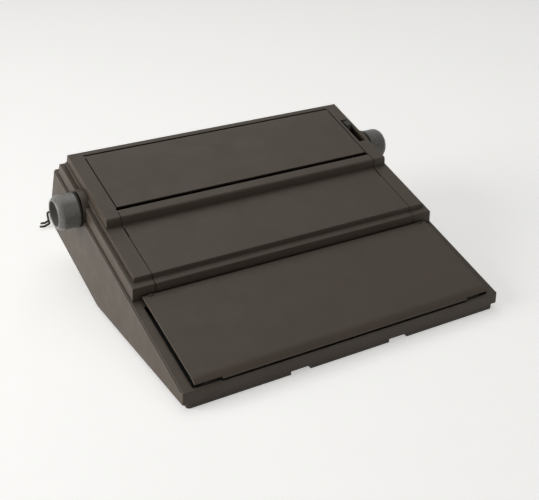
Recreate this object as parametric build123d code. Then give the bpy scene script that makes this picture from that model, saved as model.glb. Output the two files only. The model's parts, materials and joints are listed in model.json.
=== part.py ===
from build123d import *
import math
import os

# Portable electronic typewriter, closed, with its lead coiled behind it.
# Millimetres. X runs to the right, Y to the back and Z up. While it is built, Y is counted from
# the front edge of the case; write_parts moves every piece so that Y = 0 is the middle of the case.
# Most pieces are placed in the deck frame: S runs up the sloping deck from the front edge, and N
# stands square to it, with N = 0 on the rim round the keyboard.

# Case
CASE_WIDTH = 400.0
CASE_LENGTH = 357.0
SLOPE = 17.2
DRAFT = 2.5
FRONT_HEIGHT = 20.7
SIDE_LIFT = 7.2
REAR_DEPTH = 76.7
WALL = 3.0
PARTING = 1.2
GROOVE_HEIGHT = 0.8
GROOVE_DEPTH = 1.0
GROOVE_FRONT = 3.0
PLINTH_INSET = 5.2
PLINTH_CORNER = 3.5
FRONT_CORNER = 1.2
PLINTH_LENGTH = 200.0
PLINTH_LIFT = 0.8
NOTCH_WIDTH = 24.0
NOTCH_HEIGHT = 4.0
NOTCH_DEPTH = 7.0
NOTCH_PLACES = (-64.3, 60.3)

# Layers of the upper case
SHELL = 2.6
KEY_BAY = 122.4
LEDGE_RISE = 14.6
MID_RISE = 19.7
REAR_RISE = 29.1
MID_SETBACK = 8.4
REAR_FRONT = 225.0
REAR_BACK = 343.4
LEDGE_BACK = 348.1
RIM_INSET = 0.4
LEDGE_INSET = 2.2
MID_INSET = 7.3
DECK_INSET = 8.9
WELL_HALF = 187.3
WELL_FRONT = 3.2
WELL_BACK = 118.0

# Covers
COVER_GAP = 0.8
LID_GAP = 1.3
SEAM_HALF = 168.4
LID_HALF = 166.8
LID_FRONT = 241.8
LID_BACK = 336.2
ACCESS_BACK = 237.4
SEAM_NOTCH = 0.8
SEAM_NOTCH_S = (203.0, 216.0)
FACE_FOOT = 3.2
KNUCKLE = 1.6
PIN_RADIUS = 0.9
KEY_COVER_HALF = 185.5
KEY_COVER_TOP = 6.0
KEY_COVER_PANEL = 2.5
KEY_COVER_BACK = 128.0
KEY_COVER_FRONT = 3.6
KEY_COVER_CREASE = 10.0
KEY_COVER_ROLL = 2.2
KEY_COVER_SOFT = 16.0
LIP_HALF = 155.0
LIP_REACH = 2.2
LIP_DROP = 0.8
LIP_THICK = 1.1
LIP_SIDE = 1.0
LIP_SLOT_FRONT = 0.8
LIP_SLOT_DEPTH = 4.5

# Platen and knobs
PLATEN_S = 282.6
PLATEN_N = 0.5
PLATEN_RADIUS = 17.0
PLATEN_HALF = 148.0
RUBBER = 3.0
SHAFT_RADIUS = 4.0
KNOB_RADIUS = 20.0
KNOB_INNER = 198.9
KNOB_LENGTH = 24.2
KNOB_BEVEL = 4.5
KNOB_BEVEL_RISE = 3.2
KNOB_SHOULDER = 8.0
KNOB_EDGE = 2.5
KNOB_HOLLOW = 14.6
HOLLOW_EDGE = 0.8
HOLLOW_DEPTH = 13.0
WASHER_RADIUS = 20.6
WASHER_THICK = 1.95
COLLAR_RADIUS = 22.0
SHAFT_HOLE = 9.0
BUSH_RADIUS = 7.0

# Fits
RUN = 0.05
GAP = 0.3
SEAT = 0.02

# Frames inside
FRAME_X = 159.0
FRAME_PLATE = 2.0
FLOOR_N = -(REAR_DEPTH - WALL)

# Print carriage
CARRIAGE_HALF = 32.0
REAR_ROD = (245.0, -60.0)
REAR_ROD_RADIUS = 5.0
FRONT_ROD = (196.0, -40.0)
FRONT_ROD_RADIUS = 4.0
TIE_ROD = (326.0, -24.0)
WHEEL_N = -31.0
WHEEL_RADIUS = 36.0
WHEEL_S = 262.4
WHEEL_THICK = 0.8
PETALS = 40
MOTOR_RADIUS = 15.8
HAMMER_N = 3.0
CASSETTE_ROOM = 0.7

# Belt drive
PULLEY_X = 142.0
PULLEY_S = 180.0
PULLEY_RADIUS = 7.0
BELT_LOW = -44.0
BELT_HIGH = -38.0
BELT_THICK = 1.2

# Line feed gears
GEAR_MODULE = 1.0
GEAR_TEETH = 36
PINION_TEETH = 12
PINION_ANGLE = -72.0

# Keyboard
KEY_PITCH = 19.05
KEY_CAP = 17.4
KEY_HEIGHT = 8.5
KEY_TOP = 0.8
KEY_TRAVEL = 3.5
KEY_FIRST_ROW = 27.0
KEY_LEFT = -171.5
STEM_RADIUS = 2.3
KEY_PLATE_TOP = -11.5
KEY_PLATE_THICK = 1.5
KEY_BOARD_TOP = -18.4

# Lead
CORD = 6.5
COIL_CENTRE = (-117.0, 458.0)
COIL_INNER = 27.0
COIL_PITCH = 7.1
COIL_LAYER = 7.0
COIL_START = 50.0
COIL_SWEEP = 1100.0
COIL_TAIL = 32.0
CORD_LIFT = CORD / 2 + 0.1

SIN = math.sin(math.radians(SLOPE))
COS = math.cos(math.radians(SLOPE))
PARTS = {}


def yz(s, n):
    """Turns a deck place into Y and Z."""
    return (s * COS - n * SIN, FRONT_HEIGHT + s * SIN + n * COS)


def deck_of(y, z):
    """Turns Y and Z into a deck place."""
    return (y * COS + (z - FRONT_HEIGHT) * SIN, -y * SIN + (z - FRONT_HEIGHT) * COS)


DECK = Plane(origin=(0, 0, FRONT_HEIGHT), x_dir=(1, 0, 0), z_dir=(0, -SIN, COS))


def prism(points, x0, x1, rounds=None):
    """A solid between two X values, with its outline given in Y and Z."""
    side = Plane(origin=(x0, 0, 0), x_dir=(0, 1, 0), z_dir=(1, 0, 0))
    face = make_face(Polyline(*[(y, z) for y, z in points], close=True).edges())
    for index, radius in (rounds or {}).items():
        y, z = points[index]
        corner = min(face.vertices(), key=lambda v: abs(v.X - y) + abs(v.Y - z))
        face = fillet(corner, radius)
    return extrude(side * face, amount=x1 - x0)


def deck_prism(points, x0, x1, rounds=None):
    return prism([yz(s, n) for s, n in points], x0, x1, rounds)


def deck_box(x0, x1, s0, s1, n0, n1):
    middle = Pos((x0 + x1) / 2, (s0 + s1) / 2, (n0 + n1) / 2)
    return DECK * middle * Box(x1 - x0, s1 - s0, n1 - n0)


def along_x(x0, x1, s, n, radius):
    y, z = yz(s, n)
    return Pos((x0 + x1) / 2, y, z) * Rot(0, 90, 0) * Cylinder(radius, x1 - x0)


def along_s(x, s0, s1, n, radius):
    return DECK * Pos(x, (s0 + s1) / 2, n) * Rot(90, 0, 0) * Cylinder(radius, s1 - s0)


def along_n(x, s, n0, n1, radius):
    return DECK * Pos(x, s, (n0 + n1) / 2) * Cylinder(radius, n1 - n0)


def half_width(z, inset):
    """Half the width of a side face that leans in by the draft, at height z."""
    return CASE_WIDTH / 2 - inset - (z - SIDE_LIFT) * math.tan(math.radians(DRAFT))


def between_sides(inset, low=-5.0, high=170.0):
    """Everything between the two leaning side faces."""
    outline = [(-half_width(low, inset), low), (half_width(low, inset), low),
               (half_width(high, inset), high), (-half_width(high, inset), high)]
    front = Plane(origin=(0, 420, 0), x_dir=(1, 0, 0), z_dir=(0, -1, 0))
    return extrude(front * make_face(Polyline(*outline, close=True).edges()), amount=440)


def both_sides(make):
    """The same piece on the left and on the right."""
    return make(-1) + make(1)


def keep(name, shape):
    PARTS[name] = shape


def mirrored_pair(x0, x1, sign):
    """Two X values for one side, lowest first."""
    return (min(sign * x0, sign * x1), max(sign * x0, sign * x1))


# Lower case: side walls, front wall, leaning rear wall, plinth, rear legs and posts

LEG_X = 140.0
LEG_Y = 300.0
LEG_HALF = 13.0
FOOT_RADIUS = 9.0
FOOT_HEIGHT = 4.0
FOOT_SHOWN = 2.4
FRONT_FOOT_X = 165.0
FRONT_FOOT_Y = 26.0
SHELF_REAR = 1.5
REAR_SHELF = 13.0
POST_RADIUS = 4.0
SCREW_RADIUS = 1.5
SCREW_HEAD = 2.8
SCREW_HEAD_HEIGHT = 1.6
SCREW_LENGTH = 9.0
SCREW_FIT = 0.1
KEY_GAP_LEFT = KEY_LEFT + 1.25 * KEY_PITCH
KEY_GAP_RIGHT = KEY_LEFT + 16.25 * KEY_PITCH
POSTS = [(x, KEY_FIRST_ROW + row * KEY_PITCH) for x in (KEY_GAP_LEFT, KEY_GAP_RIGHT) for row in (0, 4)]
BOARD = (-150.0, 60.0, 264.0, 344.0)
BOARD_LOW = -70.5
BOARD_THICK = 1.6
BOARD_POSTS = [(x, s) for x in (BOARD[0] + 6, BOARD[1] - 6) for s in (BOARD[2] + 6, BOARD[3] - 6)]
RELIEF_X = -20.0
RELIEF_N = -66.0
SWITCH_X = -75.0
SWITCH_N = -48.0
SWITCH_HALF = 10.0
SWITCH_RISE = 7.0
VENT_WIDTH = 3.0
VENT_LENGTH = 34.0
VENTS = 12


def case_outline(inset, top):
    """Side outline of the lower case, moved in by inset, with its top edge at N = top."""
    low = SIDE_LIFT + inset
    depth = REAR_DEPTH - inset
    bend = (low - FRONT_HEIGHT + depth * COS) / SIN
    top_s = (inset + top * SIN) / COS
    return [(inset, low), yz(top_s, top), yz(CASE_LENGTH - inset, top),
            yz(CASE_LENGTH + SHELF_REAR - inset, -depth), yz(bend, -depth)]


def lower_case():
    outer = prism(case_outline(0.0, -PARTING), -210, 210, {3: 5.0, 4: 25.0}) & between_sides(0.0)
    outer = fillet(outer.edges().filter_by(Axis.Z, tolerance=4).group_by(Axis.Y)[0], FRONT_CORNER)
    plinth_half = CASE_WIDTH / 2 - PLINTH_INSET
    plinth = Pos(0, PLINTH_LENGTH / 2 + 0.4, (PLINTH_LIFT + SIDE_LIFT + WALL) / 2) * Box(
        2 * plinth_half, PLINTH_LENGTH, SIDE_LIFT + WALL - PLINTH_LIFT)
    plinth = fillet(plinth.edges().filter_by(Axis.Z), PLINTH_CORNER)
    body = outer + plinth + both_sides(rear_leg)
    cavity = prism(case_outline(WALL, 30.0), -210, 210) & between_sides(WALL)
    cavity += Pos(0, PLINTH_LENGTH / 2 + 0.4, PLINTH_LIFT + 2.5 + 5.0) * Box(
        2 * plinth_half - 2 * WALL, PLINTH_LENGTH - 2 * WALL, 10.0)
    body -= cavity
    body += deck_box(-half_width(120, 1.0), half_width(120, 1.0), CASE_LENGTH - REAR_SHELF, CASE_LENGTH - 1.0,
                     -PARTING - WALL, -PARTING)
    solid_case = outer + plinth
    plate_low = KEY_PLATE_TOP - KEY_PLATE_THICK
    for x, s in POSTS:
        body += along_n(x, s, plate_low - 60, plate_low, POST_RADIUS) & solid_case
        body -= along_n(x, s, plate_low - SCREW_LENGTH - 1, plate_low + 1, SCREW_RADIUS + SCREW_FIT)
    for x, s in BOARD_POSTS:
        body += along_n(x, s, FLOOR_N - 1, BOARD_LOW, POST_RADIUS)
        body -= along_n(x, s, FLOOR_N - 1.5, BOARD_LOW + 1, SCREW_RADIUS + SCREW_FIT)
    for index in range(VENTS):
        x = (index - (VENTS - 1) / 2) * 3 * VENT_WIDTH
        body -= deck_box(x - VENT_WIDTH / 2, x + VENT_WIDTH / 2, 260, 260 + VENT_LENGTH, FLOOR_N - 5, FLOOR_N + 1)
    body -= along_x(-210, 210, PLATEN_S, PLATEN_N, SHAFT_HOLE)
    body -= parting_groove()
    for x in NOTCH_PLACES:
        body -= Pos(x, 0, PLINTH_LIFT + NOTCH_HEIGHT / 2 - 1) * Box(NOTCH_WIDTH, 2 * NOTCH_DEPTH, NOTCH_HEIGHT + 2)
        body += Pos(x, NOTCH_DEPTH + 1.0, (PLINTH_LIFT + SIDE_LIFT) / 2 + 1) * Box(
            NOTCH_WIDTH + 2, 2.0, SIDE_LIFT - PLINTH_LIFT + 2)
        body += Pos(x, NOTCH_DEPTH / 2 + 1, PLINTH_LIFT + NOTCH_HEIGHT + 1.0) * Box(
            NOTCH_WIDTH + 2, NOTCH_DEPTH, 2.0)
    body -= lip_slot(LIP_SLOT_FRONT + RUN * 2)
    for x, y in foot_places():
        body -= Pos(x, y, foot_seat(y) / 2) * Cylinder(FOOT_RADIUS + RUN, foot_seat(y))
    y, z = relief_place()
    body -= Pos(RELIEF_X, y, z) * Rot(90, 0, 0) * Cylinder(RELIEF_NECK + SEAT, 30)
    body -= deck_box(SWITCH_X - SWITCH_HALF, SWITCH_X + SWITCH_HALF, CASE_LENGTH - 8, CASE_LENGTH + 10,
                     SWITCH_N - SWITCH_RISE, SWITCH_N + SWITCH_RISE)
    keep("lower_case", body)


def lip_slot(front):
    """Room under the lip of the keyboard cover, open to the key well."""
    half = LIP_HALF + LIP_SIDE
    return deck_box(-half, half, front, WELL_FRONT + 2, -LIP_SLOT_DEPTH, 1)


def parting_groove():
    """Rabbet under the flange of the upper case, along both sides and the back."""
    slab = deck_box(-210, 210, GROOVE_FRONT, CASE_LENGTH + 10, -PARTING - GROOVE_HEIGHT, -PARTING + 1)
    return slab - (prism(case_outline(GROOVE_DEPTH, 5.0), -210, 210) & between_sides(GROOVE_DEPTH))


def rear_leg(sign):
    """A square leg from the sloping underside down towards the desk."""
    top = yz(CASE_LENGTH, -REAR_DEPTH + 1.0)[1]
    low = FOOT_SHOWN
    block = Pos(sign * LEG_X, LEG_Y, (top + low) / 2) * Box(2 * LEG_HALF, 2 * LEG_HALF, top - low)
    block = fillet(block.edges().filter_by(Axis.Z), 3.0)
    under = prism([yz(150, -REAR_DEPTH + 1.0), yz(CASE_LENGTH, -REAR_DEPTH + 1.0), (400, -5), (100, -5)],
                  -200, 200)
    return block & under


def foot_places():
    return [(sx * x, y) for x, y in ((FRONT_FOOT_X, FRONT_FOOT_Y), (LEG_X, LEG_Y)) for sx in (-1, 1)]


def foot_seat(y):
    """Height of the recess that holds a foot."""
    return FOOT_HEIGHT if y == LEG_Y else FOOT_HEIGHT - FOOT_SHOWN + PLINTH_LIFT


def rubber_feet():
    feet = []
    for x, y in foot_places():
        height = foot_seat(y)
        feet.append(Pos(x, y, height / 2) * Cylinder(FOOT_RADIUS, height))
    keep("rubber_feet", Compound(children=feet))


# Upper case: rim, ledge, middle deck, rear deck, collars and hinge lugs

ACCESS_AXIS = (ACCESS_BACK - KNUCKLE, REAR_RISE - KNUCKLE)
LID_AXIS = (LID_BACK - KNUCKLE, REAR_RISE - KNUCKLE)
KEY_AXIS = (KEY_COVER_BACK - KEY_COVER_PANEL / 2, KEY_COVER_TOP - KEY_COVER_PANEL / 2)
EAR_X = (174.0, 178.0)
EAR_RADIUS = 1.7
EAR_SIDE = 0.3
EAR_FRONT = 2.4
LUG_LENGTH = 5.0
SLOT_X = (172.1, 181.8)
SLOT_S = (262.9, 308.8)
REST_THICK = 2.2
REST_LENGTH = 6.0
REST_REACH = 4.0
ACCESS_RESTS = (156.0, 208.0)
LID_RESTS = (252.0, 316.0)


def face_s(n):
    """Where the upright front face of the ledge lies at height N."""
    return (KEY_BAY + n * SIN) / COS


def mid_face(n):
    """Where the upright front face of the middle deck lies at height N."""
    return face_s(n) + MID_SETBACK


def rear_face(n):
    """Where the upright front face of the rear deck lies at height N."""
    return REAR_FRONT - (REAR_RISE - n) * SIN / COS


def stepped_outline(skin, low):
    """Side outline of the layered deck, moved in by skin, from N = low up."""
    outlines = {}
    for name, face, rise, back, lean in (("ledge", face_s, LEDGE_RISE, LEDGE_BACK, 1.0),
                                         ("mid", mid_face, MID_RISE, REAR_BACK, 0.5),
                                         ("rear", rear_face, REAR_RISE, REAR_BACK, 0.5)):
        front = skin / COS
        outlines[name] = [(face(low) + front, low), (face(rise - skin) + front, rise - skin),
                          (back - skin, rise - skin), (back + lean - skin, low)]
    return outlines


def layered_block():
    """The stepped outside of the deck, filled, with its soft edges."""
    base = -PARTING
    lines = stepped_outline(0.0, base)
    ledge = deck_prism(lines["ledge"], -210, 210) & between_sides(LEDGE_INSET)
    mid = deck_prism(lines["mid"], -210, 210) & between_sides(MID_INSET)
    rear = deck_prism(lines["rear"], -210, 210, {1: 2.5}) & between_sides(DECK_INSET)
    ledge = soften(ledge, LEDGE_RISE, 1.2)
    mid = soften(mid, MID_RISE, 0.9)
    rear = soften(rear, REAR_RISE, 0.9, sides_only=True)
    return ledge + mid + rear


def soften(block, rise, radius, sides_only=False):
    """Rounds the top side edges, and the front top edge unless sides_only."""
    chosen = []
    for edge in block.edges():
        middle = edge @ 0.5
        height = deck_of(middle.Y, middle.Z)[1]
        on_side = abs(middle.X) > CASE_WIDTH / 4
        if abs(height - rise) < 0.05 and (on_side or not sides_only):
            chosen.append(edge)
    return fillet(chosen, radius)


def upper_case():
    back = CASE_LENGTH - RIM_INSET
    rim = deck_prism([(-0.2, -PARTING), (0.0, 0.0), (back, 0.0), (back, -PARTING)], -210, 210)
    rim &= between_sides(RIM_INSET)
    rim &= prism([(0.0, -5), (0.0, 200), (420, 200), (420, -5)], -210, 210)
    rim = soften(rim, 0.0, 0.8, sides_only=True)
    tongue = deck_prism([((WALL + 0.4) / COS, -SHELL), ((WALL + 0.4) / COS, -PARTING + 0.2),
                         (face_s(0) + 3, -PARTING + 0.2), (face_s(0) + 3, -SHELL)],
                        -210, 210) & between_sides(WALL + 0.6)
    body = rim + tongue + layered_block() + both_sides(collar)
    inner = stepped_outline(SHELL, -PARTING - 5)
    cavity = deck_prism(inner["ledge"], -210, 210) & between_sides(LEDGE_INSET + SHELL)
    cavity += deck_prism(inner["mid"], -210, 210) & between_sides(MID_INSET + SHELL)
    cavity += deck_prism(inner["rear"], -210, 210) & between_sides(DECK_INSET + SHELL)
    behind_bar = deck_box(-210, 210, face_s(0) + 6, 400, -20, 60)
    body -= cavity & behind_bar
    body -= deck_box(-WELL_HALF, WELL_HALF, WELL_FRONT, WELL_BACK, -10, 5)
    body -= lip_slot(LIP_SLOT_FRONT)
    opening = SEAM_HALF + COVER_GAP
    body -= deck_box(-opening, opening, KEY_BAY, ACCESS_BACK + 2, 0.0, 60) & deck_prism(
        [(face_s(0.0), 0.0), (face_s(60), 60), (400, 60), (400, 0.0)], -210, 210)
    lid_opening = LID_HALF + LID_GAP
    body -= deck_box(-lid_opening, lid_opening, ACCESS_BACK, LID_BACK + LID_GAP, 5, 60)
    body += both_sides(hinge_lugs)
    body += both_sides(cover_rests)
    body -= deck_box(SLOT_X[0], SLOT_X[1], SLOT_S[0], SLOT_S[1], 15, 60)
    body -= both_sides(hinge_bores)
    body -= along_x(-210, 210, PLATEN_S, PLATEN_N, SHAFT_HOLE)
    keep("upper_case", body)


def collar(sign):
    """Half-round hood of the shell over the platen shaft."""
    x0, x1 = mirrored_pair(half_width(150, DECK_INSET), half_width(100, 0) + 0.2, sign)
    hood = along_x(x0, x1, PLATEN_S, PLATEN_N, COLLAR_RADIUS)
    hood -= along_x(x0 - 1, x1 + 1, PLATEN_S, PLATEN_N, SHAFT_HOLE)
    hood &= deck_box(-210, 210, 200, 400, -PARTING, 60)
    outside = between_sides(-0.3)
    return hood & outside


def hinge_lugs(sign):
    """Bosses that take the pins of the three covers."""
    x0, x1 = mirrored_pair(SEAM_HALF + COVER_GAP, SEAM_HALF + COVER_GAP + LUG_LENGTH, sign)
    s, n = ACCESS_AXIS
    lugs = deck_box(x0, x1, s - 3, s + 3, n - 3.5, REAR_RISE - 0.5)
    s, n = LID_AXIS
    x0, x1 = mirrored_pair(LID_HALF + LID_GAP, LID_HALF + LID_GAP + LUG_LENGTH, sign)
    lugs += deck_box(x0, x1, s - 3, s + 3, n - 3.5, REAR_RISE - 0.5)
    s, n = KEY_AXIS
    x0, x1 = mirrored_pair(*EAR_X, sign)
    stem = deck_box(x0, x1, s - 1.0, face_s(n) + 2, -PARTING + 0.3, n)
    return lugs + stem + along_x(x0, x1, s, n, EAR_RADIUS)


def hinge_bores(sign):
    """Holes in the lugs for the pins."""
    holes = None
    for (s, n), x in ((ACCESS_AXIS, SEAM_HALF), (LID_AXIS, LID_HALF), (KEY_AXIS, EAR_X[0])):
        x0, x1 = mirrored_pair(x, x + PIN_REACH, sign)
        hole = along_x(x0, x1, s, n, PIN_RADIUS + SEAT)
        holes = hole if holes is None else holes + hole
    return holes


def cover_rests(sign):
    """Tabs under the side edges of the two deck covers, two for each cover and side."""
    tabs = None
    for half, gap, rise, places in ((SEAM_HALF, COVER_GAP, MID_RISE, ACCESS_RESTS),
                                    (LID_HALF, LID_GAP, REAR_RISE, LID_RESTS)):
        low = rise - SHELL - GAP - REST_THICK
        for s in places:
            x0, x1 = mirrored_pair(half - REST_REACH, half + gap + 1.5, sign)
            tab = deck_box(x0, x1, s, s + REST_LENGTH, low, low + REST_THICK)
            x0, x1 = mirrored_pair(half + gap, half + gap + 1.5, sign)
            tab += deck_box(x0, x1, s, s + REST_LENGTH, low, rise - 1)
            tabs = tab if tabs is None else tabs + tab
    return tabs


# Covers

PIN_REACH = 4.5
PIN_IN = 6.0


def knuckle_bores(body, axis, half):
    """Blind pin holes in both ends of a cover's hinge edge."""
    for sign in (-1, 1):
        x0, x1 = mirrored_pair(half - PIN_IN - 0.2, half + 1, sign)
        body -= along_x(x0, x1, axis[0], axis[1], PIN_RADIUS + RUN)
    return body


def rear_lid():
    s, n = LID_AXIS
    panel = deck_box(-LID_HALF, LID_HALF, LID_FRONT, s, REAR_RISE - SHELL, REAR_RISE)
    upright = panel.edges().filter_by(Axis((0, 0, 0), DECK.z_dir))
    panel = fillet([e for e in upright if deck_of((e @ 0.5).Y, (e @ 0.5).Z)[0] < LID_FRONT + 1], 1.5)
    panel += along_x(-LID_HALF, LID_HALF, s, n, KNUCKLE)
    keep("rear_lid", knuckle_bores(panel, LID_AXIS, LID_HALF))


def access_cover():
    steps = ((face_s, FACE_FOOT), (face_s, LEDGE_RISE), (mid_face, LEDGE_RISE), (mid_face, MID_RISE),
             (rear_face, MID_RISE), (rear_face, REAR_RISE))
    outside = [(face(n), n) for face, n in steps] + [(ACCESS_AXIS[0], REAR_RISE)]
    inside = [(ACCESS_AXIS[0], REAR_RISE - SHELL)]
    inside += [(face(n - SHELL) + SHELL / COS, n - SHELL) for face, n in reversed(steps[1:])]
    inside.append((face_s(FACE_FOOT) + SHELL / COS, FACE_FOOT))
    rounds = {1: 1.2, 3: 0.9, 5: 2.5}
    body = deck_prism(outside + inside, -SEAM_HALF, SEAM_HALF, rounds)
    body += along_x(-SEAM_HALF, SEAM_HALF, *ACCESS_AXIS, KNUCKLE)
    for sign in (-1, 1):
        x0, x1 = mirrored_pair(SEAM_HALF - SEAM_NOTCH, SEAM_HALF + 1, sign)
        body -= deck_box(x0, x1, *SEAM_NOTCH_S, MID_RISE - 5, MID_RISE + 1)
    keep("access_cover", knuckle_bores(body, ACCESS_AXIS, SEAM_HALF))


def keyboard_cover():
    s, n = KEY_AXIS
    half = KEY_COVER_HALF
    top = KEY_COVER_TOP
    low = top - KEY_COVER_PANEL
    edge = top - KEY_COVER_ROLL
    body = deck_prism([(KEY_COVER_FRONT, edge), (KEY_COVER_CREASE, top), (s, top), (s, low),
                       (KEY_COVER_CREASE, low), (KEY_COVER_FRONT, edge - LIP_THICK)],
                      -half, half, {0: 0.4, 1: KEY_COVER_SOFT})
    body += along_x(-half, half, s, n, KEY_COVER_PANEL / 2)
    edges = [e for e in body.edges() if abs(abs((e @ 0.5).X) - half) < 0.01
             and deck_of((e @ 0.5).Y, (e @ 0.5).Z)[1] > edge and abs(deck_of((e @ 0.5).Y, (e @ 0.5).Z)[1] - top) < 0.01]
    body = fillet(edges, 0.8)
    lip_front = KEY_COVER_FRONT - LIP_REACH
    lip = deck_prism([(lip_front, edge - LIP_DROP), (KEY_COVER_FRONT + 1.0, edge),
                      (KEY_COVER_FRONT + 1.0, edge - LIP_THICK), (lip_front, edge - LIP_DROP - LIP_THICK)],
                     -LIP_HALF, LIP_HALF)
    body += lip
    for sign in (-1, 1):
        x0, x1 = mirrored_pair(EAR_X[0] - EAR_SIDE, EAR_X[1] + EAR_SIDE, sign)
        body -= deck_box(x0, x1, s - EAR_FRONT, s + 5, n - 5, n + 5)
        x0, x1 = mirrored_pair(EAR_X[0] - PIN_IN - 0.2, EAR_X[1] + PIN_IN + 0.2, sign)
        body -= along_x(x0, x1, s, n, PIN_RADIUS + RUN)
    keep("keyboard_cover", body)


def hinge_pins():
    pins = []
    for sign in (-1, 1):
        for (s, n), x in ((ACCESS_AXIS, SEAM_HALF), (LID_AXIS, LID_HALF)):
            x0, x1 = mirrored_pair(x - PIN_IN, x + PIN_REACH - 0.2, sign)
            pins.append(along_x(x0, x1, s, n, PIN_RADIUS))
        x0, x1 = mirrored_pair(EAR_X[0] - PIN_IN, EAR_X[1] + PIN_IN, sign)
        pins.append(along_x(x0, x1, *KEY_AXIS, PIN_RADIUS))
    keep("hinge_pins", Compound(children=pins))


# Platen, knobs and line feed

GEAR_X = (-167.0, -162.0)
GEAR_RADIUS = GEAR_MODULE * GEAR_TEETH / 2
PINION_RADIUS = GEAR_MODULE * PINION_TEETH / 2
FEED_MOTOR_X = -187.0


def pinion_axis():
    reach = GEAR_RADIUS + PINION_RADIUS
    angle = math.radians(PINION_ANGLE)
    return (PLATEN_S + reach * math.cos(angle), PLATEN_N + reach * math.sin(angle))


def toothed_disc(teeth, x0, x1, axis, first_tooth, bore):
    """A spur gear whose first tooth points at first_tooth degrees in the S, N plane."""
    radius = GEAR_MODULE * teeth / 2
    pitch = 2 * math.pi / teeth
    outline = []
    for index in range(teeth):
        centre = math.radians(first_tooth) + index * pitch
        for turn, reach in ((-0.31, -1.2), (-0.12, 0.85), (0.12, 0.85), (0.31, -1.2)):
            r = radius + reach * GEAR_MODULE
            angle = centre + turn * pitch
            outline.append((axis[0] + r * math.cos(angle), axis[1] + r * math.sin(angle)))
    return deck_prism(outline, x0, x1) - along_x(x0 - 1, x1 + 1, axis[0], axis[1], bore)


def platen_group():
    s, n = PLATEN_S, PLATEN_N
    core = along_x(-PLATEN_HALF, PLATEN_HALF, s, n, PLATEN_RADIUS - RUBBER)
    shaft = along_x(-KNOB_INNER - KNOB_LENGTH + HOLLOW_DEPTH + 0.5, KNOB_INNER + KNOB_LENGTH - HOLLOW_DEPTH - 0.5,
                    s, n, SHAFT_RADIUS)
    keep("platen_shaft", core + shaft)
    sleeve = along_x(-PLATEN_HALF, PLATEN_HALF, s, n, PLATEN_RADIUS)
    keep("platen_rubber", sleeve - along_x(-PLATEN_HALF, PLATEN_HALF, s, n, PLATEN_RADIUS - RUBBER + SEAT))
    keep("knob_left", knob(-1))
    keep("knob_right", knob(1))
    washers = []
    for sign in (-1, 1):
        x0, x1 = mirrored_pair(KNOB_INNER - WASHER_THICK, KNOB_INNER, sign)
        ring = along_x(x0, x1, s, n, WASHER_RADIUS) - along_x(x0, x1, s, n, SHAFT_RADIUS + SEAT)
        washers.append(ring)
    keep("knob_washers", Compound(children=washers))
    gear = toothed_disc(GEAR_TEETH, GEAR_X[0], GEAR_X[1], (s, n), PINION_ANGLE, SHAFT_RADIUS + SEAT)
    keep("line_feed_gear", gear)
    left = along_x(-FRAME_X - FRAME_PLATE - 0.6, -FRAME_X + 1.5, s, n, BUSH_RADIUS)
    right = along_x(FRAME_X - 1.5, 182.0, s, n, BUSH_RADIUS)
    bore = along_x(-200, 200, s, n, SHAFT_RADIUS + RUN)
    keep("platen_bushes", Compound(children=[left - bore, right - bore]))


def knob(sign):
    """Barrel with a bevelled outer end, a deep hollow and a hub on the shaft."""
    inner, outer = KNOB_INNER, KNOB_INNER + KNOB_LENGTH
    bore = SHAFT_RADIUS + SEAT
    outline = [(inner, bore), (inner, KNOB_RADIUS), (outer - KNOB_BEVEL, KNOB_RADIUS),
               (outer, KNOB_RADIUS - KNOB_BEVEL_RISE), (outer, KNOB_HOLLOW), (outer - HOLLOW_DEPTH, KNOB_HOLLOW),
               (outer - HOLLOW_DEPTH, bore)]
    face = make_face(Polyline(*[(sign * x, r) for x, r in outline], close=True).edges())
    for index, radius in ((2, KNOB_SHOULDER), (3, KNOB_EDGE), (4, HOLLOW_EDGE)):
        x, r = outline[index]
        face = fillet(min(face.vertices(), key=lambda v: abs(v.X - sign * x) + abs(v.Y - r)), radius)
    y, z = yz(PLATEN_S, PLATEN_N)
    half_plane = Plane(origin=(0, y, z), x_dir=(1, 0, 0), z_dir=(0, -1, 0))
    return revolve(half_plane * face, axis=Axis((0, y, z), (1, 0, 0)))


def line_feed_drive():
    s, n = pinion_axis()
    tooth = PINION_ANGLE + 180 + 180 / PINION_TEETH
    pinion = toothed_disc(PINION_TEETH, GEAR_X[0] - 0.5, GEAR_X[1] + 0.5, (s, n), tooth, 1.0)
    pinion += along_x(-179, GEAR_X[1] + 0.5, s, n, 1.5)
    keep("line_feed_pinion", pinion)
    flange = along_x(-171, -169, s, n, 16.0)
    body = along_x(FEED_MOTOR_X, -171, s, n, 13.0) + flange
    for ds, dn in ((10.0, -9.7), (-9.0, -11.5)):
        body += along_x(-169, -FRAME_X - FRAME_PLATE, s + ds, n + dn, 2.0)
    body -= along_x(-180, -160, s, n, 1.5 + RUN)
    keep("line_feed_motor", body)


LEVER_X = (175.0, 179.0)
LEVER_LEAN = 36.0
TAB_X = (174.2, 181.0)


def release_lever():
    """Lever that turns on the right bush and stands up in the slot of the rear deck."""
    x0, x1 = LEVER_X
    hub = along_x(x0, x1, PLATEN_S, PLATEN_N, 11.0)
    lean = math.radians(LEVER_LEAN)

    def place(across, up):
        return (PLATEN_S + up * math.sin(lean) + across * math.cos(lean),
                PLATEN_N + up * math.cos(lean) - across * math.sin(lean))

    arm = deck_prism([place(-3.5, 5), place(-3.5, 28), place(3.5, 28), place(3.5, 5)], x0, x1)
    tab = deck_prism([place(-5.5, 25.5), place(-6.2, 32.2), place(2.6, 37.9), place(5.0, 31.0), place(4.5, 25.5)],
                     TAB_X[0], TAB_X[1], {1: 1.2, 2: 1.0})
    body = hub + arm + tab - along_x(x0 - 1, x1 + 1, PLATEN_S, PLATEN_N, BUSH_RADIUS + RUN)
    keep("paper_release_lever", body)


# Paper feed

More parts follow.
